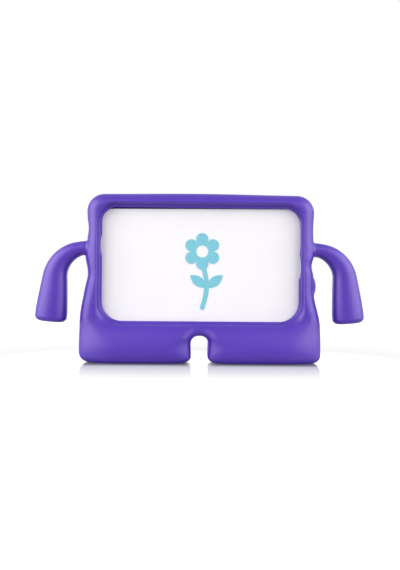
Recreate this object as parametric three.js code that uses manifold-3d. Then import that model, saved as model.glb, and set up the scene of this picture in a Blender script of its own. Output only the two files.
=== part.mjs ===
// Kids tablet case: one soft foam moulding with two arms to hold it by and two feet to stand on,
// and the printed card that fills the tablet's place.
// Millimetres, +Z up, the screen faces -Y. The origin is on the floor under the middle of the feet.

import * as THREE from 'three';
import { mergeVertices } from 'three/addons/utils/BufferGeometryUtils.js';
import Module from 'manifold-3d';

const wasm = await Module();
wasm.setup();

// Driving dimensions

// The tablet that the case is made for
const tabletWidth = 188;
const tabletHeight = 111.5;
const tabletDepth = 10;
const tabletCornerRadius = 11;
const bayClearance = 0.5;

// The lip that holds the tablet in, and the rails round it
const lipOverlap = 4;
const lipThickness = 3;
const lipBand = 2.6;
const lipFromCentre = 6.5;
const crestRise = 6.5;
const backWall = 6;
const sideRail = 14;
const topRail = 12.4;
const bellyHeight = 38;
const windowRadiusTop = 13;
const windowRadiusBottom = 18;

// The rounded edges of the frame
const topCrown = 1;
const outerCornerRadius = 16;
const rollWidth = 8;
const rollDepth = 11;
const backEdgeWidth = 9;
const backEdgeDepth = 9;

// Where the side walls draw in a little, on the left (-1), on the right (1) or on both (0)
const waists = [
  { side: 0, height: 122, halfLength: 18, depth: 0.7 },
  { side: -1, height: 80, halfLength: 12, depth: 1 },
  { side: 1, height: 89, halfLength: 9, depth: 1.4 },
];

// The funnel between the rails' crest and the lip
const funnelSideRun = 1.5;
const funnelTopRun = 2.1;
const funnelBottomRun = 8;
const funnelBottomRise = 8.5;

// Finger scallops in the lip's inner edge
const scallops = [
  { side: -1, height: 107, halfLength: 9, depth: 1.3 },
  { side: 1, height: 115, halfLength: 17, depth: 1.4 },
  { side: 1, height: 88.5, halfLength: 11, depth: 2 },
];

// The belly and the feet
const footHalfWidth = 110.3;
const footHalfDepth = 23;
const footFullestHeight = 13;
const frontBulgeTop = 42;
const backBulgeTop = 62;
const leftFlareBottom = 36;
const leftFlareTop = 84;
const rightFlareBottom = 32;
const rightFlareTop = 68;
const footSideWidth = 36;
const footSideDepth = 15;
const footUnderDepth = 8;
const leftFootEdge = 9;
const rightFootEdge = 7;

// The arch between the feet
const archOffset = -0.6;
const archHeight = 24.8;
const archHalfWidth = 8;
const archWaistHalfWidth = 7.6;
const archCrownFlat = 1.2;
const archToeHeight = 6.5;
const archToeWidth = 12;
const archEdgeRound = 8;
const archEdgeDepth = 9;

// The arms
const armHeight = 104.4;
const armSink = 3.5;
const armReach = 0.2;
const armBendRadius = 29.3;
const armLean = THREE.MathUtils.degToRad(5.4);
const armDrop = 41.2;
const armRootWidth = 13;
const armRootDepth = 15;
const handWidth = 28.9;
const handDepth = 23;
const armTaperStart = 10;
const armTaperLength = 69;
const armTaperPower = 1.2;
const armSetBack = -3;
const handEdgeRound = 4.5;
const armSectionPower = 2.1;

// Raised pads on the side walls
const leftPadHeight = 99;
const leftPadHalfLength = 14;
const rightPadHeight = 104;
const rightPadHalfLength = 10;
const rootPadHalfDepth = 12;
const rootPadProud = 2;
const buttonPadHeight = 70.5;
const buttonPadHalfLength = 13;
const buttonPadHalfDepth = 8.5;
const buttonPadProud = 2.8;
const padSunk = 5;

// Openings in the walls
const cameraHoleRadius = 8;
const cameraHoleFromEdge = 17;
const cameraHoleBevel = 3;
const portHeight = 88;
const portLength = 15;
const portWidth = 7;
const portScoopDepth = 2.2;
const portScoopRim = 5;
const jackHeight = 122;
const jackRadius = 3.6;

// The card in the tablet's place, and its print
const cardSideTrim = 0.3;
const cardTopTrim = 5;
const cardThickness = 1.5;
const cardGap = 0.3;
const cardTilt = THREE.MathUtils.degToRad(0.45);
const printThickness = 0.3;
const flowerRadius = 17;
const flowerHeight = 101;
const flowerOffset = 1.5;
const petalCount = 6;
const petalDip = 6.5;
const petalFullness = 0.6;
const flowerEyeRadius = 5.6;
const stemLength = 40;
const stemWidth = 4.4;
const stemBow = 4;
const leafLength = 19;
const leafWidth = 9;
const leafRise = THREE.MathUtils.degToRad(38);
const leafStart = 0.55;

// Fineness of the facets
const cornerSteps = 8;
const levelStep = 6;
const crownSteps = 6;
const footLevels = 7;
const topLevels = 9;
const funnelLayers = 8;
const archSteps = 9;
const archLayers = 5;
const armSections = 24;
const armSectionPoints = 22;
const padSegments = 22;
const cutMargin = 4;

// Sizes worked out from the driving ones
const windowHalfWidth = tabletWidth / 2 - lipOverlap;
const windowBottom = bellyHeight;
const windowTop = windowBottom + tabletHeight - 2 * lipOverlap;
const bayHalfWidth = tabletWidth / 2 + bayClearance;
const bayBottom = windowBottom - lipOverlap - bayClearance;
const bayTop = windowTop + lipOverlap + bayClearance;
const lipBack = -lipFromCentre;
const lipFront = lipBack - lipThickness;
const crestFront = lipFront - crestRise;
const bayBack = lipBack + tabletDepth + bayClearance;
const frameBack = bayBack + backWall;
const bayMiddle = (lipBack + bayBack) / 2;
const caseTop = windowTop + topRail;
const frameHalfWidth = windowHalfWidth + sideRail;
const cardWidth = tabletWidth - 2 * cardSideTrim;
const cardHeight = tabletHeight - cardTopTrim;

// 0 below the first height, 1 above the second, and a smooth rise between them
function ease(value, from, to) {
  return THREE.MathUtils.smoothstep(value, from, to);
}

// A smooth bump, 1 in the middle and 0 at both ends
function bell(value, middle, halfLength) {
  const t = Math.min(Math.abs(value - middle) / halfLength, 1);
  return Math.cos(t * Math.PI / 2) ** 2;
}

// How far a quarter-round edge has drawn in at a distance from the edge
function drawIn(distance, height, inset) {
  if (distance >= height) {
    return 0;
  }
  const t = 1 - Math.max(distance, 0) / height;
  return inset * (1 - Math.sqrt(1 - t * t));
}

// An S-curve that is steep at both of its ends
function steepEnds(t) {
  return 0.5 + Math.asin(2 * THREE.MathUtils.clamp(t, 0, 1) - 1) / Math.PI;
}

// Solids

// Triangles that fill a flat ring of points
function capTriangles(ring) {
  const normal = new THREE.Vector3();
  ring.forEach((point, i) => normal.add(point.clone().cross(ring[(i + 1) % ring.length])));
  const upright = new THREE.Vector3(0, 0, 1);
  const turn = new THREE.Quaternion().setFromUnitVectors(normal.normalize(), upright);
  const flat = ring.map((point) => point.clone().applyQuaternion(turn));
  return THREE.ShapeUtils.triangulateShape(flat.map(({ x, y }) => new THREE.Vector2(x, y)), []);
}

// A closed mesh through rings of points, every ring with the same number of them. The rings run
// counterclockwise about the direction in which they follow each other.
function loft(rings) {
  const count = rings[0].length;
  const last = (rings.length - 1) * count;
  const indices = [];
  for (let i = 0; i < rings.length - 1; i += 1) {
    for (let j = 0; j < count; j += 1) {
      const a = i * count + j;
      const b = i * count + (j + 1) % count;
      indices.push(a, b, b + count, a, b + count, a + count);
    }
  }
  for (const [a, b, c] of capTriangles(rings[0])) {
    indices.push(a, c, b);
  }
  for (const [a, b, c] of capTriangles(rings.at(-1))) {
    indices.push(last + a, last + b, last + c);
  }
  const geometry = new THREE.BufferGeometry();
  const positions = rings.flat().flatMap((point) => point.toArray());
  geometry.setAttribute('position', new THREE.Float32BufferAttribute(positions, 3));
  geometry.setIndex(indices);
  return geometry;
}

function toSolid(geometry) {
  const bare = geometry.clone();
  bare.deleteAttribute('normal');
  bare.deleteAttribute('uv');
  const merged = mergeVertices(bare);
  const vertProperties = new Float32Array(merged.attributes.position.array);
  const triVerts = new Uint32Array(merged.index.array);
  return new wasm.Manifold(new wasm.Mesh({ numProp: 3, vertProperties, triVerts }));
}

function toGeometry(solid) {
  const mesh = solid.getMesh();
  const geometry = new THREE.BufferGeometry();
  geometry.setAttribute('position', new THREE.BufferAttribute(mesh.vertProperties, 3));
  geometry.setIndex(new THREE.BufferAttribute(mesh.triVerts, 1));
  geometry.computeVertexNormals();
  return geometry;
}

// A rectangle with round corners, as a shape in X and Z
function roundedRectangle(halfWidth, bottom, top, radiusTop, radiusBottom = radiusTop) {
  const shape = new THREE.Shape();
  shape.absarc(halfWidth - radiusTop, top - radiusTop, radiusTop, 0, Math.PI / 2);
  shape.absarc(radiusTop - halfWidth, top - radiusTop, radiusTop, Math.PI / 2, Math.PI);
  shape.absarc(radiusBottom - halfWidth, bottom + radiusBottom, radiusBottom, Math.PI, 1.5 * Math.PI);
  shape.absarc(halfWidth - radiusBottom, bottom + radiusBottom, radiusBottom, 1.5 * Math.PI, 2 * Math.PI);
  return shape;
}

// A shape drawn in X and Z, made solid from one depth to a further one
function plate(shape, fromY, toY) {
  const options = { depth: toY - fromY, bevelEnabled: false, curveSegments: cornerSteps };
  const geometry = new THREE.ExtrudeGeometry(shape, options);
  return geometry.rotateX(Math.PI / 2).translate(0, toY, 0);
}

function ellipsoid(radii, centre) {
  const geometry = new THREE.SphereGeometry(1, padSegments, padSegments / 2);
  return geometry.scale(...radii.toArray()).translate(...centre.toArray());
}

// A round bar along one axis between two places, with a radius at each end
function roundBar(axis, from, to, radiusFrom, radiusTo, centre) {
  const geometry = new THREE.CylinderGeometry(radiusTo, radiusFrom, to - from, padSegments);
  const along = new THREE.Vector3(...axis);
  const turn = new THREE.Quaternion().setFromUnitVectors(new THREE.Vector3(0, 1, 0), along);
  const place = along.clone().multiplyScalar((from + to) / 2).add(centre);
  return geometry.applyQuaternion(turn).translate(...place.toArray());
}

// The frame, belly and feet

function sideAt(z, side) {
  const flareFrom = side < 0 ? leftFlareBottom : rightFlareBottom;
  const flareTo = side < 0 ? leftFlareTop : rightFlareTop;
  const flare = (footHalfWidth - frameHalfWidth) * (1 - ease(z, flareFrom, flareTo));
  const pinches = waists
    .filter((waist) => waist.side !== -side)
    .map((waist) => waist.depth * bell(z, waist.height, waist.halfLength));
  const pinch = pinches.reduce((sum, depth) => sum + depth, 0);
  const corner = drawIn(caseTop - z, outerCornerRadius, outerCornerRadius);
  const edge = side < 0 ? leftFootEdge : rightFootEdge;
  return frameHalfWidth + flare - pinch - corner - drawIn(z, edge, edge);
}

function frontAt(z) {
  const bulge = (footHalfDepth + crestFront) * (1 - ease(z, footFullestHeight, frontBulgeTop));
  const roll = drawIn(caseTop - z, rollWidth, rollDepth);
  const under = drawIn(z, footFullestHeight, footUnderDepth);
  return crestFront - bulge + roll + under;
}

function backAt(z) {
  const bulge = (footHalfDepth - frameBack) * (1 - ease(z, footFullestHeight, backBulgeTop));
  const roll = drawIn(caseTop - z, backEdgeWidth, backEdgeDepth);
  const under = drawIn(z, footFullestHeight, footUnderDepth);
  return frameBack + bulge - roll - under;
}

// How much a place near the top is lifted, so that the top rail is crowned along its length
function crownLift(x, z) {
  return topCrown * bell(x, 0, frameHalfWidth) * ease(z, windowTop, caseTop - outerCornerRadius / 2);
}

// One level of the body, an outline with four elliptical corners
function bodyRing(z) {
  const front = frontAt(z);
  const back = backAt(z);
  const squeeze = Math.min(1, (back - front) / (frameBack - crestFront));
  const foot = 1 - ease(z, footFullestHeight, frontBulgeTop);
  const corner = (width, depth) => ({
    rx: THREE.MathUtils.lerp(width, footSideWidth, foot),
    ry: THREE.MathUtils.lerp(depth, footSideDepth, foot) * squeeze,
  });
  const frontCorner = corner(rollWidth, rollDepth);
  const backCorner = corner(backEdgeWidth, backEdgeDepth);
  const ring = [];
  for (let quarter = 0; quarter < 4; quarter += 1) {
    const sideways = quarter === 0 || quarter === 3 ? 1 : -1;
    const { rx, ry } = quarter < 2 ? backCorner : frontCorner;
    const cx = sideways * (sideAt(z, sideways) - rx);
    const cy = quarter < 2 ? back - ry : front + ry;
    for (let i = 0; i <= cornerSteps; i += 1) {
      const angle = (quarter + i / cornerSteps) * Math.PI / 2;
      ring.push(new THREE.Vector3(cx + rx * Math.cos(angle), cy + ry * Math.sin(angle), z));
    }
    const nextQuarter = (quarter + 1) % 4;
    if (quarter % 2 === 0) {
      const { rx: nextRx } = nextQuarter < 2 ? backCorner : frontCorner;
      const toX = -sideways * (sideAt(z, -sideways) - nextRx);
      const edgeY = quarter === 0 ? back : front;
      for (let i = 1; i < crownSteps; i += 1) {
        ring.push(new THREE.Vector3(THREE.MathUtils.lerp(cx, toX, i / crownSteps), edgeY, z));
      }
    }
  }
  ring.forEach((point) => {
    point.z += crownLift(point.x, z);
  });
  return ring;
}

// Heights for the body's rings, close together where its edges turn
function bodyLevels() {
  const levels = [];
  for (let i = 0; i < footLevels; i += 1) {
    levels.push(footFullestHeight * (1 - Math.cos(i / footLevels * Math.PI / 2)));
  }
  const shoulder = caseTop - outerCornerRadius;
  const middle = Math.round((shoulder - footFullestHeight) / levelStep);
  for (let i = 0; i < middle; i += 1) {
    levels.push(THREE.MathUtils.lerp(footFullestHeight, shoulder, i / middle));
  }
  for (let i = topLevels; i >= 0; i -= 1) {
    levels.push(caseTop - outerCornerRadius * (1 - Math.cos(i / topLevels * Math.PI / 2)));
  }
  return levels;
}

function bodyBlank() {
  return toSolid(loft(bodyLevels().map(bodyRing)));
}

// The funnel's outline at one depth in front of the lip
function funnelRing(rise) {
  const side = lipBand + funnelSideRun * steepEnds(rise / crestRise);
  const top = lipBand + funnelTopRun * steepEnds(rise / crestRise);
  const bottom = lipBand + funnelBottomRun * steepEnds(rise / funnelBottomRise);
  const ring = [];
  for (let quarter = 0; quarter < 4; quarter += 1) {
    const sideways = quarter === 0 || quarter === 3 ? 1 : -1;
    const radius = quarter < 2 ? windowRadiusTop : windowRadiusBottom;
    const cx = sideways * (windowHalfWidth - radius);
    const cz = quarter < 2 ? windowTop - radius : windowBottom + radius;
    const rz = radius + (quarter < 2 ? top : bottom);
    for (let i = 0; i <= cornerSteps; i += 1) {
      const angle = (quarter + i / cornerSteps) * Math.PI / 2;
      const x = cx + (radius + side) * Math.cos(angle);
      ring.push(new THREE.Vector3(x, lipFront - rise, cz + rz * Math.sin(angle)));
    }
  }
  return ring;
}

function funnelCut() {
  const rises = [];
  for (let i = 0; i <= funnelLayers; i += 1) {
    rises.push(funnelBottomRise * (1 - Math.cos(i / funnelLayers * Math.PI)) / 2);
  }
  rises.push(footHalfDepth + cutMargin);
  return toSolid(loft(rises.map(funnelRing)));
}

// The window through the lip, with finger scallops in its upright edges
function windowCut() {
  const outline = roundedRectangle(
    windowHalfWidth,
    windowBottom,
    windowTop,
    windowRadiusTop,
    windowRadiusBottom,
  );
  const hollows = scallops.map(({ side, height, halfLength, depth }) => ellipsoid(
    new THREE.Vector3(depth, lipThickness + cutMargin, halfLength),
    new THREE.Vector3(side * windowHalfWidth, (lipFront + lipBack) / 2, height),
  ));
  const opening = toSolid(plate(outline, lipFront - cutMargin, lipBack + cutMargin));
  return hollows.reduce((solid, hollow) => solid.add(toSolid(hollow)), opening);
}

function bayCut() {
  const radius = tabletCornerRadius + bayClearance;
  return toSolid(plate(roundedRectangle(bayHalfWidth, bayBottom, bayTop, radius), lipBack, bayBack));
}

// Half the arch's width at a height, wider at the toes and round at the top
function archHalfWidthAt(z) {
  const crownRadius = archHalfWidth - archCrownFlat;
  const toe = drawIn(z, archToeHeight, archToeWidth);
  const crown = drawIn(archHeight - z, crownRadius, crownRadius);
  const flankRise = ease(z, archToeHeight, archHeight - crownRadius);
  return THREE.MathUtils.lerp(archWaistHalfWidth, archHalfWidth, flankRise) + toe - crown;
}

function archRing(y, widen) {
  const side = [[archHalfWidthAt(0), -cutMargin]];
  for (let i = 0; i < archSteps; i += 1) {
    const z = archToeHeight * (1 - Math.cos(i / archSteps * Math.PI / 2));
    side.push([archHalfWidthAt(z), z]);
  }
  for (let i = 0; i <= archSteps; i += 1) {
    const share = Math.sin(i / archSteps * Math.PI / 2);
    const z = THREE.MathUtils.lerp(archToeHeight, archHeight, share);
    side.push([archHalfWidthAt(z), z + widen * share]);
  }
  const right = side.map(([x, z]) => new THREE.Vector3(archOffset + x + widen, y, z));
  const left = side.map(([x, z]) => new THREE.Vector3(archOffset - x - widen, y, z)).reverse();
  return [...right, ...left];
}

// The arch is cut right through, and its rim widens towards the front and the back
function archCut() {
  const rims = [{ y: footHalfDepth + cutMargin, widen: archEdgeRound }];
  for (let i = archLayers; i >= 0; i -= 1) {
    const angle = i / archLayers * Math.PI / 2;
    rims.push({
      y: footHalfDepth - archEdgeDepth * (1 - Math.sin(angle)),
      widen: archEdgeRound * (1 - Math.cos(angle)),
    });
  }
  const frontRims = rims.map(({ y, widen }) => ({ y: -y, widen })).reverse();
  return toSolid(loft([...rims, ...frontRims].map(({ y, widen }) => archRing(y, widen))));
}

// The arms

// Where the arm's middle line is at a length along it, and which way is outwards there
function armMiddle(length, side) {
  const rootX = sideAt(armHeight, side) - armSink;
  const straight = armSink + armReach;
  const turn = Math.PI / 2 - armLean;
  const bendLength = armBendRadius * turn;
  let x = rootX + Math.min(length, straight);
  let z = armHeight;
  const angle = THREE.MathUtils.clamp((length - straight) / armBendRadius, 0, turn);
  x += armBendRadius * Math.sin(angle);
  z -= armBendRadius * (1 - Math.cos(angle));
  const hang = Math.max(length - straight - bendLength, 0);
  x += hang * Math.sin(armLean);
  z -= hang * Math.cos(armLean);
  const outwards = new THREE.Vector3(side * Math.sin(angle), 0, Math.cos(angle));
  return { point: new THREE.Vector3(side * x, armSetBack, z), outwards };
}

function armRing(length, total, side) {
  const { point, outwards } = armMiddle(length, side);
  const left = THREE.MathUtils.clamp(1 - (length - armTaperStart) / armTaperLength, 0, 1);
  const taper = 1 - left ** armTaperPower;
  const end = drawIn(total - length, handEdgeRound, handEdgeRound);
  const halfWidth = THREE.MathUtils.lerp(armRootWidth, handWidth, taper) / 2 - end;
  const halfDepth = THREE.MathUtils.lerp(armRootDepth, handDepth, taper) / 2 - end;
  const ring = [];
  for (let i = 0; i < armSectionPoints; i += 1) {
    const angle = -side * i / armSectionPoints * 2 * Math.PI;
    const across = Math.sign(Math.cos(angle)) * Math.abs(Math.cos(angle)) ** (2 / armSectionPower);
    const along = Math.sign(Math.sin(angle)) * Math.abs(Math.sin(angle)) ** (2 / armSectionPower);
    const offset = outwards.clone().multiplyScalar(halfWidth * across);
    offset.y += halfDepth * along;
    ring.push(point.clone().add(offset));
  }
  return ring;
}

function arm(side) {
  const straight = armSink + armReach;
  const total = straight + armBendRadius * (Math.PI / 2 - armLean) + armDrop;
  const rings = [];
  for (let i = 0; i < armSections; i += 1) {
    rings.push(armRing((total - handEdgeRound) * i / armSections, total, side));
  }
  for (let i = cornerSteps / 2; i >= 0; i -= 1) {
    const left = handEdgeRound * (1 - Math.cos(i / (cornerSteps / 2) * Math.PI / 2));
    rings.push(armRing(total - left, total, side));
  }
  return toSolid(loft(rings));
}

// Pads and openings on the walls

// A low round pad on a side wall
function wallPad(side, height, proud, halfDepth, halfLength) {
  const radii = new THREE.Vector3(proud + padSunk, halfDepth, halfLength);
  const centre = new THREE.Vector3(side * (sideAt(height, side) - padSunk), bayMiddle, height);
  return toSolid(ellipsoid(radii, centre));
}

// A shallow scoop in a side wall
function wallScoop(side, height, depth, halfDepth, halfLength) {
  const radii = new THREE.Vector3(depth, halfDepth, halfLength);
  const centre = new THREE.Vector3(side * sideAt(height, side), bayMiddle, height);
  return toSolid(ellipsoid(radii, centre));
}

function portCut() {
  const halfWidth = portWidth / 2;
  const slot = roundedRectangle(halfWidth, -portLength / 2, portLength / 2, halfWidth);
  const length = frameHalfWidth - bayHalfWidth + 2 * cutMargin;
  const bar = plate(slot, 0, length).rotateZ(-Math.PI / 2);
  return toSolid(bar.translate(bayHalfWidth - cutMargin, bayMiddle, portHeight));
}

function jackCut() {
  const centre = new THREE.Vector3(0, bayMiddle, jackHeight);
  const from = bayHalfWidth - cutMargin;
  const to = frameHalfWidth + cutMargin;
  return toSolid(roundBar([-1, 0, 0], from, to, jackRadius, jackRadius, centre));
}

function cameraCut() {
  const x = -(bayHalfWidth - cameraHoleFromEdge);
  const centre = new THREE.Vector3(x, 0, bayTop - cameraHoleFromEdge);
  const bore = roundBar([0, 1, 0], bayBack - cutMargin, frameBack + cutMargin,
    cameraHoleRadius, cameraHoleRadius, centre);
  const bevel = roundBar([0, 1, 0], frameBack - cameraHoleBevel, frameBack + cutMargin,
    cameraHoleRadius, cameraHoleRadius + cameraHoleBevel + cutMargin, centre);
  return toSolid(bore).add(toSolid(bevel));
}

function caseBody() {
  const added = [
    arm(-1),
    arm(1),
    wallPad(-1, leftPadHeight, rootPadProud, rootPadHalfDepth, leftPadHalfLength),
    wallPad(1, rightPadHeight, rootPadProud, rootPadHalfDepth, rightPadHalfLength),
    wallPad(1, buttonPadHeight, buttonPadProud, buttonPadHalfDepth, buttonPadHalfLength),
  ];
  const rim = portWidth / 2 + portScoopRim;
  const cut = [
    wallScoop(1, portHeight, portScoopDepth, rim, portLength / 2 + portScoopRim),
    wallScoop(-1, jackHeight, portScoopDepth, jackRadius + portScoopRim, jackRadius + portScoopRim),
    funnelCut(),
    windowCut(),
    bayCut(),
    archCut(),
    portCut(),
    jackCut(),
    cameraCut(),
  ];
  const whole = added.reduce((solid, piece) => solid.add(piece), bodyBlank());
  return toGeometry(cut.reduce((solid, tool) => solid.subtract(tool), whole));
}

// The card and its print

function insertCard() {
  const half = cardHeight / 2;
  const outline = roundedRectangle(cardWidth / 2, -half, half, tabletCornerRadius);
  return plate(outline, 0, cardThickness);
}

// A flower with an open eye, petals by a polar curve
function flowerHead() {
  const outline = [];
  const steps = petalCount * 2 * cornerSteps;
  for (let i = 0; i < steps; i += 1) {
    const angle = i / steps * 2 * Math.PI;
    const lobe = Math.abs(Math.sin(petalCount * angle / 2)) ** petalFullness;
    const radius = flowerRadius - petalDip * (1 - lobe);
    outline.push(new THREE.Vector2(radius * Math.cos(angle), radius * Math.sin(angle)));
  }
  const shape = new THREE.Shape(outline);
  const eye = new THREE.Path();
  eye.absarc(0, 0, flowerEyeRadius, 0, 2 * Math.PI, true);
  shape.holes.push(eye);
  return shape;
}

// The middle line of the stem, from the flower's eye downwards
function stemPoint(t) {
  const start = (flowerEyeRadius + flowerRadius) / 2;
  return new THREE.Vector2(stemBow * Math.sin(t * Math.PI), -start - stemLength * t);
}

function stem() {
  const right = [];
  const left = [];
  for (let i = 0; i <= cornerSteps; i += 1) {
    const point = stemPoint(i / cornerSteps);
    right.push(new THREE.Vector2(point.x + stemWidth / 2, point.y));
    left.push(new THREE.Vector2(point.x - stemWidth / 2, point.y));
  }
  const shape = new THREE.Shape(right);
  const foot = stemPoint(1);
  shape.absarc(foot.x, foot.y, stemWidth / 2, 0, -Math.PI, true);
  left.reverse().forEach((point) => shape.lineTo(point.x, point.y));
  return shape;
}

function leaf(side) {
  const root = stemPoint(leafStart);
  const tip = new THREE.Vector2(side * leafLength, 0).rotateAround(new THREE.Vector2(), side * leafRise);
  const across = new THREE.Vector2(-tip.y, tip.x).normalize().multiplyScalar(leafWidth);
  const middle = tip.clone().multiplyScalar(0.5).add(root);
  const end = root.clone().add(tip);
  const shape = new THREE.Shape([root]);
  shape.quadraticCurveTo(middle.x + across.x, middle.y + across.y, end.x, end.y);
  shape.quadraticCurveTo(middle.x - across.x, middle.y - across.y, root.x, root.y);
  return shape;
}

function cardPrint() {
  const shapes = [flowerHead(), stem(), leaf(-1), leaf(1)];
  const solids = shapes.map((shape) => toSolid(plate(shape, -printThickness, 0)));
  return toGeometry(solids.reduce((solid, piece) => solid.add(piece)));
}

// Materials

const foam = new THREE.MeshStandardMaterial({ name: 'foam', color: 0x6a4cc8, roughness: 0.6, metalness: 0 });
const card = new THREE.MeshStandardMaterial({ name: 'card', color: 0xf8f6fc, roughness: 0.7, metalness: 0 });
const ink = new THREE.MeshStandardMaterial({ name: 'ink', color: 0x7fd0e8, roughness: 0.55, metalness: 0 });

function node(name, geometry, material) {
  const mesh = new THREE.Mesh(geometry, material);
  mesh.name = name;
  return mesh;
}

// The card stands in the bay just behind the lip, a little askew
function cardGroup() {
  const group = new THREE.Group();
  const flower = node('card_print', cardPrint(), ink);
  flower.position.set(flowerOffset, 0, flowerHeight - (bayBottom + cardHeight / 2));
  group.add(node('insert_card', insertCard(), card), flower);
  const lift = Math.sin(cardTilt) * (cardWidth / 2 - tabletCornerRadius) + cardGap;
  group.position.set(0, lipBack + cardGap, bayBottom + cardHeight / 2 + lift);
  group.rotation.y = -cardTilt;
  return group;
}

const tabletCase = new THREE.Group();
tabletCase.add(node('case_body', caseBody(), foam), cardGroup());

export default tabletCase;
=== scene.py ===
# A child's tablet case in soft foam: the foam as one smooth field turned into a mesh, the card and
# its print with their own finishes, and a plain pale studio round them.

import math

import bpy
import numpy as np
from mathutils import Matrix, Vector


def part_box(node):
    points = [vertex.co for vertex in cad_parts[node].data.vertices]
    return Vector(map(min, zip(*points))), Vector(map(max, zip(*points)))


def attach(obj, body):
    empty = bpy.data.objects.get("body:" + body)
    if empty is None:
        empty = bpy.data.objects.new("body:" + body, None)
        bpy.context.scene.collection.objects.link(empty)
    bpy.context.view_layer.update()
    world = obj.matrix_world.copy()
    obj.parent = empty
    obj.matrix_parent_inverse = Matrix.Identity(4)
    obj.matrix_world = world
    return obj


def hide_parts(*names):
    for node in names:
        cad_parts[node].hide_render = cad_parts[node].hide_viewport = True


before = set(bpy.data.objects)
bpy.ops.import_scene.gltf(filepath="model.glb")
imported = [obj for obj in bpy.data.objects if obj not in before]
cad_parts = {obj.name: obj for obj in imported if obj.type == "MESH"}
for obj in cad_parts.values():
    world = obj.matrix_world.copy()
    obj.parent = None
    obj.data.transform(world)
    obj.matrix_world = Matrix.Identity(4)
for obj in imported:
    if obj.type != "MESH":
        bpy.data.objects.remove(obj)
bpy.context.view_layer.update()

MM = 0.001

# The case's sizes in millimetres. They are the solid's to a tenth of one, apart from how its edges
# and the slope round its window are rounded.

case_low, case_high = (np.array(corner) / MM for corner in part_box("case_body"))
top_crown = 1
case_top = case_high[2] - top_crown
foot_half_depth = case_high[1]

tablet_width = 188
tablet_height = 111.5
tablet_depth = 10
tablet_corner_radius = 11
bay_clearance = 0.5
lip_overlap = 4
lip_thickness = 3
lip_band = 2.6
lip_from_centre = 6.5
lip_edge_round = 1.3
crest_rise = 6.5
back_wall = 6
side_rail = 14
belly_height = 38
window_radius_top = 13
window_radius_bottom = 18

outer_corner_radius = 16
roll_width = 10.5
roll_depth = 11
back_edge = 9

# Where the side walls draw in a little, on the left (-1), on the right (1) or on both (0)
waists = [
    {"side": 0, "height": 122, "half_length": 18, "depth": 0.7},
    {"side": -1, "height": 80, "half_length": 12, "depth": 1.0},
    {"side": 1, "height": 89, "half_length": 9, "depth": 1.4},
]

funnel_side_run = 2.2
funnel_bottom_run = 9.0
funnel_floor_round = 1.6

# Where the tablet's window reaches a little further into the lip
scallops = [
    {"side": -1, "height": 107, "half_length": 9, "depth": 1.3},
    {"side": 1, "height": 115, "half_length": 17, "depth": 1.4},
    {"side": 1, "height": 88.5, "half_length": 11, "depth": 2.0},
]
scallop_fillet = 1

foot_half_width = 110.3
foot_fullest_height = 13
front_bulge_top = 42
back_bulge_top = 62
flare_heights = {-1: (36, 84), 1: (32, 68)}
foot_side_width = 36
foot_side_depth = 15

# How far in and how high the feet's lower edge is rounded under each of their walls
left_foot_edge = (9, 9)
right_foot_edge = (7, 7)
foot_under_edge = (8, 13)
arch_toe_edge = (7, 5)
edge_blend = 6
edge_blend_limit = 30

arch_offset = -0.6
arch_height = 24.8
arch_half_width = 8
arch_waist_half_width = 7.6
arch_crown_radius = 6.8
arch_leg_rim = 26
arch_crown_rim = 11
arch_rim_depth = 11
arch_rim_from = 14

arm_height = 104.4
arm_sink = 3.5
arm_reach = 0.2
arm_bend_radius = 29.3
arm_lean = math.radians(5.4)
arm_drop = 41.2
arm_root_width = 13
arm_root_depth = 15
hand_width = 28.8
hand_depth = 23
arm_taper_start = 10
arm_taper_length = 69
arm_taper_power = 1.2
arm_set_back = -3
hand_edge_round = 4.5
arm_section_power = 2.1
arm_root_fillet = 1.2

# Swellings on the side walls
pads = [
    {"side": -1, "height": 99, "half_length": 14, "half_depth": 12, "proud": 2.0},
    {"side": 1, "height": 104, "half_length": 10, "half_depth": 12, "proud": 2.0},
    {"side": 1, "height": 70.5, "half_length": 13, "half_depth": 8.5, "proud": 2.8},
]
pad_sunk = 5
pad_blend = 2

camera_hole_radius = 8
camera_hole_from_edge = 17
camera_hole_bevel = 2.5
port_height = 88
port_length = 15
port_width = 7
jack_height = 122
jack_radius = 3.6
scoop_depth = 2.2
scoop_rim = 5
scoop_blend = 1.5
hole_edge_round = 0.9
hole_margin = 2
inner_edge_round = 0.8

window_half_width = tablet_width / 2 - lip_overlap
window_bottom = belly_height
window_top = window_bottom + tablet_height - 2 * lip_overlap
bay_half_width = tablet_width / 2 + bay_clearance
bay_bottom = window_bottom - lip_overlap - bay_clearance
bay_top = window_top + lip_overlap + bay_clearance
lip_back = -lip_from_centre
lip_front = lip_back - lip_thickness
crest_front = lip_front - crest_rise
bay_back = lip_back + tablet_depth + bay_clearance
frame_back = bay_back + back_wall
bay_middle = (lip_back + bay_back) / 2
frame_half_width = window_half_width + side_rail
arm_straight = arm_sink + arm_reach
arm_turn = math.pi / 2 - arm_lean
arm_length = arm_straight + arm_bend_radius * arm_turn + arm_drop

# The fineness of the foam's mesh, in millimetres, and of its finishing steps
fine_pitch = 1.0
coarse_pitch = 1.7
depth_pitch = 1.0
net_margin = 2.5
relax_rounds = 3
relax_share = 0.5
settle_steps = 4
settle_reach = 0.6
slope_step = 0.05

# What keeps a division going where its divisor would be nought
least_reach = 1e-6
least_steepness = 0.01
least_shift = 1e-9


# Ways to shape and join distances

def ease(value, low, high):
    """0 below low, 1 above high, and a smooth rise between them."""
    share = np.clip((value - low) / (high - low), 0, 1)
    return share * share * (3 - 2 * share)


def mix(first, second, share):
    return first + (second - first) * share


def bell(value, middle, half_length):
    """1 in the middle and 0 at both ends."""
    share = np.minimum(np.abs(value - middle) / half_length, 1)
    return np.cos(share * np.pi / 2) ** 2


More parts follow.
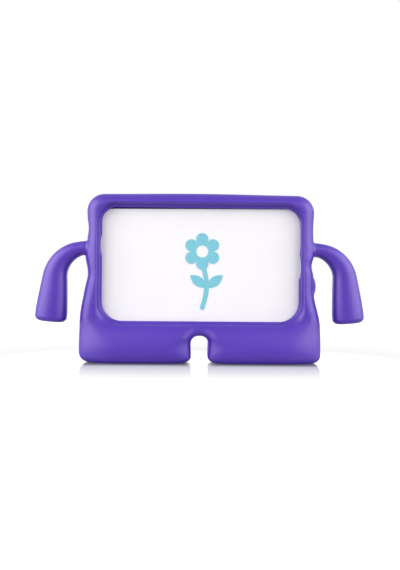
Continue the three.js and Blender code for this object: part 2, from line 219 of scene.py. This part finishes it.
def round_both(first, second, first_run, second_run):
    """What lies inside both, with an edge whose rounding starts first_run and second_run from it."""
    first_part = first / first_run
    second_part = second / second_run
    rounded = np.hypot(np.maximum(first_part + 1, 0), np.maximum(second_part + 1, 0))
    return (np.minimum(np.maximum(first_part, second_part), -1) + rounded) * first_run


def smooth_join(first, second, fillet):
    """What lies inside either, with a fillet where they meet."""
    overlap = np.maximum(fillet - np.abs(first - second), 0) / fillet
    return np.minimum(first, second) - overlap * overlap * fillet / 4


def smooth_cut(body, tool, fillet):
    """What lies inside the body and outside the tool, with a fillet where they meet."""
    return -smooth_join(-body, tool, fillet)


def rounded_rectangle(x, z, half_width, bottom, top, radius_top, radius_bottom):
    """The distance to a rectangle with round corners in the front view."""
    middle = (bottom + top) / 2
    half_height = (top - bottom) / 2
    radius = np.where(z > middle, radius_top, radius_bottom)
    sideways = np.abs(x) - half_width + radius
    upright = np.abs(z - middle) - half_height + radius
    outside = np.hypot(np.maximum(sideways, 0), np.maximum(upright, 0))
    return np.minimum(np.maximum(sideways, upright), 0) + outside - radius


def ellipsoid(x, y, z, centre, radii):
    """Nearly the distance to an ellipsoid, and truer the nearer a point is to its surface."""
    shares = [(place - middle) / radius for place, middle, radius in zip((x, y, z), centre, radii)]
    reach = np.sqrt(sum(share * share for share in shares)) + least_reach
    slope = np.sqrt(sum((share / radius) ** 2 for share, radius in zip(shares, radii))) + least_reach
    return reach * (reach - 1) / slope


# The foam as one field, negative inside

def side_width(z, side):
    """Half the body's width at a height, without its corner at the top and its edge at the floor."""
    flare_from, flare_to = flare_heights[side]
    width = frame_half_width + (foot_half_width - frame_half_width) * (1 - ease(z, flare_from, flare_to))
    for waist in waists:
        if waist["side"] != -side:
            width = width - waist["depth"] * bell(z, waist["height"], waist["half_length"])
    return width


def body(x, y, z):
    """The frame, the belly and the feet, without the arms and with nothing cut out but the arch."""
    left = -x - side_width(z, -1)
    right = x - side_width(z, 1)
    shoulder = case_top - outer_corner_radius / 2
    crown = top_crown * bell(x, 0, frame_half_width) * ease(z, window_top, shoulder)
    above = z - crown - case_top
    outline = round_both(np.maximum(left, right), above, outer_corner_radius, outer_corner_radius)
    foot = 1 - ease(z, foot_fullest_height, front_bulge_top)
    front_bulge = (foot_half_depth + crest_front) * foot
    back_bulge = (foot_half_depth - frame_back) * (1 - ease(z, foot_fullest_height, back_bulge_top))
    front = crest_front - front_bulge - y
    back = y - frame_back - back_bulge
    side_run = mix(roll_width, foot_side_width, foot)
    front_run = mix(roll_depth, foot_side_depth, foot)
    back_side_run = mix(back_edge, foot_side_width, foot)
    back_run = mix(back_edge, foot_side_depth, foot)
    fronted = round_both(front, outline, front_run, side_run)
    backed = round_both(back, outline, back_run, back_side_run)
    upright = np.maximum(fronted, backed)
    inner = -arch(x, z)
    rim = mix(arch_leg_rim, arch_crown_rim, ease(z, arch_rim_from, arch_height))
    legs = round_both(upright, inner, arch_rim_depth, rim)
    side_scale = foot_side_depth / foot_side_width
    inset, height = floor_edge([
        (left, left_foot_edge, side_scale),
        (right, right_foot_edge, side_scale),
        (np.maximum(front, back), foot_under_edge, 1),
        (inner, arch_toe_edge, arch_rim_depth / arch_leg_rim),
    ])
    return round_both(legs, -z, inset, height)


def floor_edge(walls):
    """The size of the edge at the floor, that of the nearest wall with a soft change between walls.

    Each wall comes with how fast the field rises across it, which its long corners slow down. Past
    edge_blend_limit blend lengths a wall's weight stops falling, so that the total is never nought.
    """
    inset, height, total = 0, 0, 0
    for distance, (wall_inset, wall_height), scale in walls:
        weight = np.exp(np.clip(distance / edge_blend, -edge_blend_limit, 0))
        inset = inset + weight * wall_inset * scale
        height = height + weight * wall_height
        total = total + weight
    return inset / total, height / total


def funnel(x, y, z):
    """The hollow in front of the lip, out to where the lip's flat band ends."""
    outline = rounded_rectangle(
        x, z, window_half_width + lip_band, window_bottom - lip_band, window_top + lip_band,
        window_radius_top + lip_band, window_radius_bottom + lip_band)
    return round_both(outline, y - lip_front, funnel_floor_round, funnel_floor_round)


def funnel_run(z):
    """How far the wall from the crest down to the lip reaches, wide below and steep at the sides."""
    steepening = ease(z, window_bottom, window_bottom + window_radius_bottom)
    return mix(funnel_bottom_run, funnel_side_run, steepening)


def window(x, y, z):
    """The way through the lip, from the front as far as the bay's middle.

    A scallop is centred at each point's own depth, so that it has the same outline all the way through.
    """
    opening = rounded_rectangle(
        x, z, window_half_width, window_bottom, window_top, window_radius_top, window_radius_bottom)
    for scallop in scallops:
        centre = (scallop["side"] * window_half_width, y, scallop["height"])
        radii = (scallop["depth"], 1, scallop["half_length"])
        opening = smooth_join(opening, ellipsoid(x, y, z, centre, radii), scallop_fillet)
    return np.maximum(opening, y - bay_middle)


def bay(x, y, z):
    """The tablet's place behind the lip."""
    radius = tablet_corner_radius + bay_clearance
    outline = rounded_rectangle(x, z, bay_half_width, bay_bottom, bay_top, radius, radius)
    return np.maximum(outline, np.abs(y - bay_middle) - (bay_back - lip_back) / 2)


def arch(x, z):
    """The distance to the upright sides and the round crown of the arch between the feet."""
    crown = arch_height - arch_crown_radius
    half_width = mix(arch_waist_half_width, arch_half_width, ease(z, arch_toe_edge[1], crown))
    sideways = np.abs(x - arch_offset)
    across = np.maximum(sideways - half_width + arch_crown_radius, 0)
    above = np.maximum(z - crown, 0)
    flat = np.minimum(np.maximum(sideways - half_width + arch_crown_radius, z - crown), 0)
    return np.hypot(across, above) + flat - arch_crown_radius


def arm_line(x, z, side):
    """How far each point is along an arm's middle line, and how far to the outer side of it.

    The line starts inside the wall, runs straight out, bends down and then hangs with a slight lean.
    """
    bend_x = side_width(arm_height, side) - arm_sink + arm_straight
    bend_z = arm_height - arm_bend_radius
    out_x = side * x - bend_x
    out_z = z - bend_z
    angle = np.arctan2(out_x, out_z)
    below_x = out_x - arm_bend_radius * math.sin(arm_turn)
    below_z = out_z - arm_bend_radius * math.cos(arm_turn)
    hanging = below_x * math.sin(arm_lean) - below_z * math.cos(arm_lean)
    hanging_off = below_x * math.cos(arm_lean) + below_z * math.sin(arm_lean)
    parts = [out_x < 0, angle < arm_turn]
    along_bend = arm_straight + arm_bend_radius * angle
    along_rest = arm_straight + arm_bend_radius * arm_turn + hanging
    along = np.select(parts, [out_x + arm_straight, along_bend], along_rest)
    off_bend = np.hypot(out_x, out_z) - arm_bend_radius
    across = np.select(parts, [out_z - arm_bend_radius, off_bend], hanging_off)
    return along, across


def arm(x, y, z, side):
    """A round bar along the arm's line that widens to the hand and ends in a rounded edge."""
    along, across = arm_line(x, z, side)
    still_thin = np.clip(1 - (along - arm_taper_start) / arm_taper_length, 0, 1)
    taper = 1 - still_thin ** arm_taper_power
    half_width = mix(arm_root_width, hand_width, taper) / 2
    half_depth = mix(arm_root_depth, hand_depth, taper) / 2
    power = arm_section_power
    width_share = np.abs(across / half_width) ** power
    depth_share = np.abs((y - arm_set_back) / half_depth) ** power
    level = (width_share + depth_share) ** (1 / power)
    bar = (level - 1) * np.minimum(half_width, half_depth)
    return np.maximum(round_both(bar, along - arm_length, hand_edge_round, hand_edge_round), -along)


def wall_form(x, y, z, side, height, reach, half_depth, half_length, sunk):
    """A shallow form that stands out of a side wall by its reach, from a centre sunk into the wall."""
    centre = (side * (side_width(height, side) - sunk), bay_middle, height)
    return ellipsoid(x, y, z, centre, (reach + sunk, half_depth, half_length))


def in_side_wall(hole, outwards):
    """The part of a hole from inside the bay to just outside the wall, clear of the arm beyond it."""
    inner_end = bay_half_width - tablet_corner_radius
    outer_end = frame_half_width + hole_margin
    return np.maximum(hole, np.maximum(inner_end - outwards, outwards - outer_end))


def charging_port(x, y, z):
    """A long round-ended hole in the right wall."""
    straight = (port_length - port_width) / 2
    slot = np.hypot(y - bay_middle, np.maximum(np.abs(z - port_height) - straight, 0)) - port_width / 2
    return in_side_wall(slot, x)


def headphone_port(x, y, z):
    """A round hole in the left wall."""
    hole = np.hypot(y - bay_middle, z - jack_height) - jack_radius
    return in_side_wall(hole, -x)


def camera_hole(x, y, z):
    """A round hole through the back, near the bay's upper left corner."""
    centre_x = camera_hole_from_edge - bay_half_width
    hole = np.hypot(x - centre_x, z - bay_top + camera_hole_from_edge) - camera_hole_radius
    return np.maximum(hole, bay_middle - y)


def foam(x, y, z):
    """The whole moulding, in millimetres."""
    whole = body(x, y, z)
    for pad in pads:
        bump = wall_form(
            x, y, z, pad["side"], pad["height"], pad["proud"], pad["half_depth"], pad["half_length"],
            pad_sunk)
        whole = smooth_join(whole, bump, pad_blend)
    for side in (-1, 1):
        whole = smooth_join(whole, arm(x, y, z, side), arm_root_fillet)
    rim = port_width / 2 + scoop_rim
    port_scoop = wall_form(x, y, z, 1, port_height, scoop_depth, rim, port_length / 2 + scoop_rim, 0)
    jack_rim = jack_radius + scoop_rim
    jack_scoop = wall_form(x, y, z, -1, jack_height, scoop_depth, jack_rim, jack_rim, 0)
    whole = smooth_cut(whole, port_scoop, scoop_blend)
    whole = smooth_cut(whole, jack_scoop, scoop_blend)
    whole = round_both(whole, -funnel(x, y, z), crest_rise, funnel_run(z))
    whole = round_both(whole, -bay(x, y, z), inner_edge_round, inner_edge_round)
    whole = round_both(whole, -window(x, y, z), lip_edge_round, lip_edge_round)
    whole = round_both(whole, -camera_hole(x, y, z), camera_hole_bevel, camera_hole_bevel)
    for hole in (charging_port, headphone_port):
        whole = round_both(whole, -hole(x, y, z), hole_edge_round, hole_edge_round)
    return whole


# The field turned into a mesh

def stations(low, high, fine_spans):
    """Places along one axis, close together inside the fine spans and further apart between them."""
    places = [low]
    while places[-1] < high:
        here = places[-1]
        fine = any(start <= here <= end for start, end in fine_spans)
        places.append(here + (fine_pitch if fine else coarse_pitch))
    return np.array(places)


def slopes(points):
    """The field's gradient at each point."""
    columns = []
    for axis in range(3):
        step = np.zeros(3)
        step[axis] = slope_step
        ahead = foam(*(points + step).T)
        behind = foam(*(points - step).T)
        columns.append((ahead - behind) / (2 * slope_step))
    return np.stack(columns, axis=1)


def settle(points):
    """Moves points onto the foam's surface, each by no more than a short way a step."""
    for _ in range(settle_steps):
        slope = slopes(points)
        steepness = np.maximum((slope * slope).sum(axis=1), least_steepness)
        move = foam(*points.T) / steepness
        shift = slope * move[:, None]
        length = np.linalg.norm(shift, axis=1)
        shift *= (np.minimum(length, settle_reach) / np.maximum(length, least_shift))[:, None]
        points = points - shift
    return points


def cell_corners(values):
    """The eight corner values of every cell of the grid."""
    nx, ny, nz = (size - 1 for size in values.shape)
    return {(i, j, k): values[i:nx + i, j:ny + j, k:nz + k]
            for i in (0, 1) for j in (0, 1) for k in (0, 1)}


def net_points(values, axes, cells):
    """One point in each cell that the surface passes through, in the middle of its crossings."""
    corners = {key: value[cells] for key, value in cell_corners(values).items()}
    indices = np.nonzero(cells)
    total = np.zeros((len(indices[0]), 3))
    crossings = np.zeros(len(indices[0]))
    for axis in range(3):
        for start in corners:
            if start[axis]:
                continue
            end = tuple(1 if other == axis else start[other] for other in range(3))
            first, second = corners[start], corners[end]
            crossed = (first < 0) != (second < 0)
            share = np.where(crossed, first / np.where(crossed, first - second, 1), 0)
            place = np.empty_like(total)
            for other in range(3):
                near = axes[other][indices[other] + start[other]]
                far = axes[other][indices[other] + end[other]]
                place[:, other] = near + (far - near) * share
            total += place * crossed[:, None]
            crossings += crossed
    return total / crossings[:, None]


def net_faces(inside, numbers):
    """A four-sided face round each grid edge that crosses the surface."""
    faces = []
    for axis in range(3):
        side_a, side_b = (axis + 1) % 3, (axis + 2) % 3
        near = [slice(1, -1)] * 3
        near[axis] = slice(0, -1)
        far = list(near)
        far[axis] = slice(1, None)
        first, second = inside[tuple(near)], inside[tuple(far)]
        crossed = np.nonzero(first != second)
        outwards = first[crossed]
        places = list(crossed)
        places[side_a] = places[side_a] + 1
        places[side_b] = places[side_b] + 1
        ring = []
        for back_a, back_b in ((1, 1), (0, 1), (0, 0), (1, 0)):
            place = list(places)
            place[side_a] = places[side_a] - back_a
            place[side_b] = places[side_b] - back_b
            ring.append(numbers[tuple(place)])
        quads = np.stack(ring, axis=1)
        quads[~outwards] = quads[~outwards][:, ::-1]
        faces.append(quads)
    return np.concatenate(faces)


def relax(points, faces):
    """Evens out the net: each point moves towards the middle of its neighbours, then settles again."""
    sides = faces.shape[1]
    edges = np.concatenate([faces[:, [corner, (corner + 1) % sides]] for corner in range(sides)])
    for _ in range(relax_rounds):
        total = np.zeros_like(points)
        count = np.zeros(len(points))
        np.add.at(total, edges[:, 0], points[edges[:, 1]])
        np.add.at(count, edges[:, 0], 1)
        middle = total / count[:, None]
        points = settle(points + (middle - points) * relax_share)
    return points


def foam_mesh():
    """The foam's surface as a mesh, finest at the rails, the arch, the feet and the window's edges."""
    edge_span = side_rail + roll_width
    x_spans = [(-frame_half_width - arm_reach, edge_span - frame_half_width),
               (-arch_half_width - arch_crown_rim, arch_half_width + arch_crown_rim),
               (frame_half_width - edge_span, frame_half_width + arm_reach)]
    z_spans = [(-net_margin, foot_fullest_height),
               (bay_bottom - lip_band, window_bottom + window_radius_bottom),
               (window_top - window_radius_top, case_top + net_margin)]
    axes = [
        stations(case_low[0] - net_margin, case_high[0] + net_margin, x_spans),
        np.arange(case_low[1] - net_margin, case_high[1] + net_margin, depth_pitch),
        stations(case_low[2] - net_margin, case_high[2] + net_margin, z_spans),
    ]
    grid = np.meshgrid(*axes, indexing="ij")
    values = foam(*grid)
    inside = values < 0
    corners = cell_corners(inside).values()
    count = sum(corner.astype(np.int8) for corner in corners)
    cells = (count > 0) & (count < len(corners))
    numbers = np.full(cells.shape, -1)
    numbers[cells] = np.arange(cells.sum())
    faces = net_faces(inside, numbers)
    points = relax(settle(net_points(values, axes, cells)), faces)
    mesh = bpy.data.meshes.new("case_foam")
    mesh.from_pydata((points * MM).tolist(), [], faces.tolist())
    mesh.polygons.foreach_set("use_smooth", np.ones(len(faces), dtype=bool))
    slope = slopes(points)
    normals = slope / np.linalg.norm(slope, axis=1, keepdims=True)
    mesh.normals_split_custom_set_from_vertices(normals.tolist())
    return mesh


def add_object(name, data):
    """A new object in the scene that shows this mesh, camera or light."""
    added = bpy.data.objects.new(name, data)
    bpy.context.scene.collection.objects.link(added)
    return added


def make_foam():
    piece = add_object("case_foam", foam_mesh())
    piece.data.materials.append(foam_material())
    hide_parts("case_body")
    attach(piece, "root")


# Finishes

foam_deep = (0.040, 0.0085, 0.330)
foam_light = (0.048, 0.0110, 0.366)
foam_highlight = (1.0, 0.80, 1.0, 1.0)
card_white = (0.930, 0.910, 0.925)
card_shade = (0.910, 0.890, 0.908)
ink_blue = (0.190, 0.545, 0.660)
ink_pale = (0.215, 0.580, 0.690)

# The lowest and the highest roughness of each finish
foam_roughness = (0.40, 0.48)
card_roughness = (0.55, 0.68)
ink_roughness = (0.45, 0.60)

foam_specular = 0.85
card_specular = 0.30
ink_specular = 0.35

# The width and the bump's depth of each texture, in millimetres, with its detail and its strength
foam_cloud = {"size": 28, "detail": 3, "strength": 0.10, "depth": 0.30}
foam_grain = {"size": 0.9, "detail": 3, "strength": 0.16, "depth": 0.06}
foam_pores = {"size": 0.7, "strength": 0.12, "depth": 0.05}
card_cloud = {"size": 30, "detail": 2}
card_fibres = {"size": 0.6, "detail": 4, "strength": 0.10, "depth": 0.03}
ink_lay = {"size": 4, "detail": 3}
ink_tooth = {"size": 0.5, "detail": 3, "strength": 0.08, "depth": 0.02}

# The span that holds nearly all of a noise texture's values
noise_low = 0.3
noise_high = 0.7


def set_inputs(node, **values):
    """Sets a node's inputs, whose names are written with _ for a space."""
    for name, value in values.items():
        node.inputs[name.replace("_", " ")].default_value = value


def add_node(tree, kind, **values):
    node = tree.nodes.new(kind)
    set_inputs(node, **values)
    return node


def ranged(tree, factor, start, end, at_start, at_end):
    """A number that goes from at_start to at_end as the factor goes from start to end."""
    node = add_node(
        tree, "ShaderNodeMapRange", From_Min=start, From_Max=end, To_Min=at_start, To_Max=at_end)
    tree.links.new(factor, node.inputs["Value"])
    return node.outputs["Result"]


def combined(tree, operation, first, second):
    node = tree.nodes.new("ShaderNodeMath")
    node.operation = operation
    tree.links.new(first, node.inputs[0])
    tree.links.new(second, node.inputs[1])
    return node.outputs["Value"]


class Finish:
    """A node material whose colour, roughness and bump follow textures fixed to the object."""

    def __init__(self, name):
        self.material = bpy.data.materials.new(name)
        self.material.use_nodes = True
        self.tree = self.material.node_tree
        self.shader = self.tree.nodes["Principled BSDF"]
        self.coordinates = self.tree.nodes.new("ShaderNodeTexCoord")

    def link(self, source, target):
        self.tree.links.new(source, target)

    def noise(self, texture):
        """Soft noise whose features are about as wide as the texture's size."""
        scale = 1 / (texture["size"] * MM)
        node = add_node(self.tree, "ShaderNodeTexNoise", Scale=scale, Detail=texture["detail"])
        self.link(self.coordinates.outputs["Object"], node.inputs["Vector"])
        return node.outputs["Fac"]

    def cells(self, texture):
        """Small hollows side by side, each about as wide as the texture's size."""
        node = add_node(self.tree, "ShaderNodeTexVoronoi", Scale=1 / (texture["size"] * MM))
        self.link(self.coordinates.outputs["Object"], node.inputs["Vector"])
        return node.outputs["Distance"]

    def colour(self, noise, first, second):
        """Makes the colour go from the first to the second as the noise rises."""
        ramp = self.tree.nodes.new("ShaderNodeValToRGB")
        stops = ((noise_low, first), (noise_high, second))
        for element, (position, colour) in zip(ramp.color_ramp.elements, stops):
            element.position = position
            element.color = (*colour, 1)
        self.link(noise, ramp.inputs["Fac"])
        self.link(ramp.outputs["Color"], self.shader.inputs["Base Color"])

    def roughness(self, noise, span):
        """Makes the roughness go from the span's low end to its high end as the noise rises."""
        self.link(ranged(self.tree, noise, noise_low, noise_high, *span), self.shader.inputs["Roughness"])

    def bump(self, *layers):
        """Bumps on top of each other, each as strong and as deep as its texture says."""
        below = None
        for height, texture in layers:
            node = add_node(
                self.tree, "ShaderNodeBump", Strength=texture["strength"], Distance=texture["depth"] * MM)
            self.link(height, node.inputs["Height"])
            if below is not None:
                self.link(below, node.inputs["Normal"])
            below = node.outputs["Normal"]
        self.link(below, self.shader.inputs["Normal"])


def foam_material():
    """Closed-cell foam: a dense matt skin with fine pores and a faint cloudiness in its colour."""
    finish = Finish("foam_skin")
    cloud = finish.noise(foam_cloud)
    grain = finish.noise(foam_grain)
    pores = finish.cells(foam_pores)
    finish.colour(cloud, foam_deep, foam_light)
    finish.roughness(grain, foam_roughness)
    finish.bump((cloud, foam_cloud), (grain, foam_grain), (pores, foam_pores))
    set_inputs(finish.shader, Specular_IOR_Level=foam_specular, Specular_Tint=foam_highlight)
    return finish.material


def card_material():
    """Smooth white board with faint fibres."""
    finish = Finish("card_board")
    fibres = finish.noise(card_fibres)
    cloud = finish.noise(card_cloud)
    finish.colour(cloud, card_shade, card_white)
    finish.roughness(fibres, card_roughness)
    finish.bump((fibres, card_fibres))
    set_inputs(finish.shader, Specular_IOR_Level=card_specular)
    return finish.material


def ink_material():
    """A flat printed colour with a slightly uneven lay."""
    finish = Finish("printed_ink")
    lay = finish.noise(ink_lay)
    tooth = finish.noise(ink_tooth)
    finish.colour(lay, ink_blue, ink_pale)
    finish.roughness(tooth, ink_roughness)
    finish.bump((tooth, ink_tooth))
    set_inputs(finish.shader, Specular_IOR_Level=ink_specular)
    return finish.material


def dress(node, material):
    """Gives a kept solid its finish."""
    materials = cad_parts[node].data.materials
    materials.clear()
    materials.append(material)


# The studio: places in metres, the sensor in millimetres and the picture's sizes in pixels

eye_azimuth = math.radians(-1.0)
eye_distance = 0.600
eye_height = 0.072
eye_roll = math.radians(0.5)
focal_pixels = 647.8
picture_long_side = 570
picture_right = 0.35
picture_up = 0.8
sensor_width = 36

softbox_distance = 0.75
softbox_aim = (0, 0, 0.08)
softboxes = [
    {"name": "softbox_left", "azimuth": -63, "elevation": 20, "size": (0.90, 0.70), "power": 7.4},
    {"name": "softbox_right", "azimuth": 63, "elevation": 20, "size": (0.90, 0.70), "power": 6.5},
    {"name": "softbox_back", "azimuth": 180, "elevation": 12, "size": (1.00, 0.50), "power": 2.6},
]
ambient_strength = 0.25

# The floor's own colour is grey, so that little light comes back from it, and a glow makes it look white
floor_grey = (0.25, 0.25, 0.25)
floor_glow = 0.73
floor_size = 12
mirror_share = 0.5
foot_inner_edge = arch_half_width + arch_toe_edge[0]
foot_middle = ((foot_half_width + foot_inner_edge) / 2 * MM, 0, 0)
foot_reach = ((foot_half_width - foot_inner_edge) / 2 * MM, foot_half_depth * MM, 0)
mirror_reach = 0.085
# Under the feet the floor's glow drops to a low value and rises back over a short reach: a painted shadow
# round the feet.
painted_shadow_glow = 0.1
painted_shadow_reach = 0.012
glow_start = 0.10
glow_end = 0.45
mirror_roughness = 0.12


def make_camera():
    data = bpy.data.cameras.new("camera")
    data.sensor_width = sensor_width
    data.lens = focal_pixels / picture_long_side * sensor_width
    data.shift_x = -picture_right / picture_long_side
    data.shift_y = -picture_up / picture_long_side
    camera = add_object("camera", data)
    place = (eye_distance * math.sin(eye_azimuth), -eye_distance * math.cos(eye_azimuth), eye_height)
    camera.matrix_world = (
        Matrix.Translation(place)
        @ Matrix.Rotation(eye_azimuth, 4, "Z")
        @ Matrix.Rotation(math.pi / 2, 4, "X")
        @ Matrix.Rotation(eye_roll, 4, "Z")
    )
    bpy.context.scene.camera = camera


def make_softbox(name, azimuth, elevation, size, power):
    """A soft panel that faces the case from an azimuth and elevation given in degrees."""
    data = bpy.data.lights.new(name, "AREA")
    data.shape = "RECTANGLE"
    data.size, data.size_y = size
    data.energy = power
    light = add_object(name, data)
    light.matrix_world = (
        Matrix.Translation(softbox_aim)
        @ Matrix.Rotation(math.radians(azimuth), 4, "Z")
        @ Matrix.Rotation(math.pi / 2 - math.radians(elevation), 4, "X")
        @ Matrix.Translation((0, 0, softbox_distance))
    )


def seen_directly(tree):
    """1 for the rays that look straight at a surface, or at its image in gloss or glass."""
    path = tree.nodes.new("ShaderNodeLightPath")
    total = path.outputs["Is Camera Ray"]
    for name in ("Is Glossy Ray", "Is Transmission Ray"):
        total = combined(tree, "MAXIMUM", total, path.outputs[name])
    return total


def make_world():
    """A white surround to look at, which lights the case with only a part of its strength."""
    world = bpy.data.worlds.new("studio")
    world.use_nodes = True
    tree = world.node_tree
    background = tree.nodes["Background"]
    background.inputs["Color"].default_value = (1, 1, 1, 1)
    strength = ranged(tree, seen_directly(tree), 0, 1, ambient_strength, 1)
    tree.links.new(strength, background.inputs["Strength"])
    bpy.context.scene.world = world


def distance_from_feet(tree):
    """How far a point of the floor is from the nearer of the rectangles that the feet stand in."""
    value = tree.nodes.new("ShaderNodeTexCoord").outputs["Object"]
    steps = [
        ("ABSOLUTE", None),
        ("SUBTRACT", foot_middle),
        ("ABSOLUTE", None),
        ("SUBTRACT", foot_reach),
        ("MAXIMUM", (0, 0, 0)),
    ]
    for operation, other in steps:
        step = tree.nodes.new("ShaderNodeVectorMath")
        step.operation = operation
        tree.links.new(value, step.inputs[0])
        if other is not None:
            step.inputs[1].default_value = other
        value = step.outputs["Vector"]
    length = tree.nodes.new("ShaderNodeVectorMath")
    length.operation = "LENGTH"
    tree.links.new(value, length.inputs[0])
    return length.outputs["Value"]


def floor_material():
    """Pale acrylic: its glow makes it white, a painted shadow dims that glow round the feet, and a faint
    image of the feet fades in front of them.
    """
    material = bpy.data.materials.new("floor")
    material.use_nodes = True
    tree = material.node_tree
    tree.nodes.remove(tree.nodes["Principled BSDF"])
    matt = tree.nodes.new("ShaderNodeBsdfDiffuse")
    matt.inputs["Color"].default_value = (*floor_grey, 1)
    gloss = add_node(tree, "ShaderNodeBsdfGlossy", Roughness=mirror_roughness)
    distance = distance_from_feet(tree)
    # Painted shadow: the glow falls to a low value at the feet and rises back to the floor's own glow
    # within a short reach.
    painted_shadow = ranged(tree, distance, 0, painted_shadow_reach, painted_shadow_glow - floor_glow, 0)
    beyond = ranged(tree, distance, glow_start, glow_end, floor_glow, 1)
    brightness = combined(tree, "ADD", painted_shadow, beyond)
    glow = tree.nodes.new("ShaderNodeEmission")
    tree.links.new(combined(tree, "MULTIPLY", seen_directly(tree), brightness), glow.inputs["Strength"])
    bright = tree.nodes.new("ShaderNodeAddShader")
    tree.links.new(matt.outputs["BSDF"], bright.inputs[0])
    tree.links.new(glow.outputs["Emission"], bright.inputs[1])
    blend = tree.nodes.new("ShaderNodeMixShader")
    tree.links.new(ranged(tree, distance, 0, mirror_reach, mirror_share, 0), blend.inputs["Fac"])
    tree.links.new(bright.outputs["Shader"], blend.inputs[1])
    tree.links.new(gloss.outputs["BSDF"], blend.inputs[2])
    tree.links.new(blend.outputs["Shader"], tree.nodes["Material Output"].inputs["Surface"])
    return material


def make_floor():
    half = floor_size / 2
    corners = [(-half, -half, 0), (half, -half, 0), (half, half, 0), (-half, half, 0)]
    mesh = bpy.data.meshes.new("floor")
    mesh.from_pydata(corners, [], [(0, 1, 2, 3)])
    mesh.materials.append(floor_material())
    floor = add_object("floor", mesh)


make_camera()
make_world()
make_floor()
for softbox in softboxes:
    make_softbox(**softbox)
make_foam()
dress("insert_card", card_material())
dress("card_print", ink_material())

bpy.context.scene.view_settings.view_transform = "Standard"
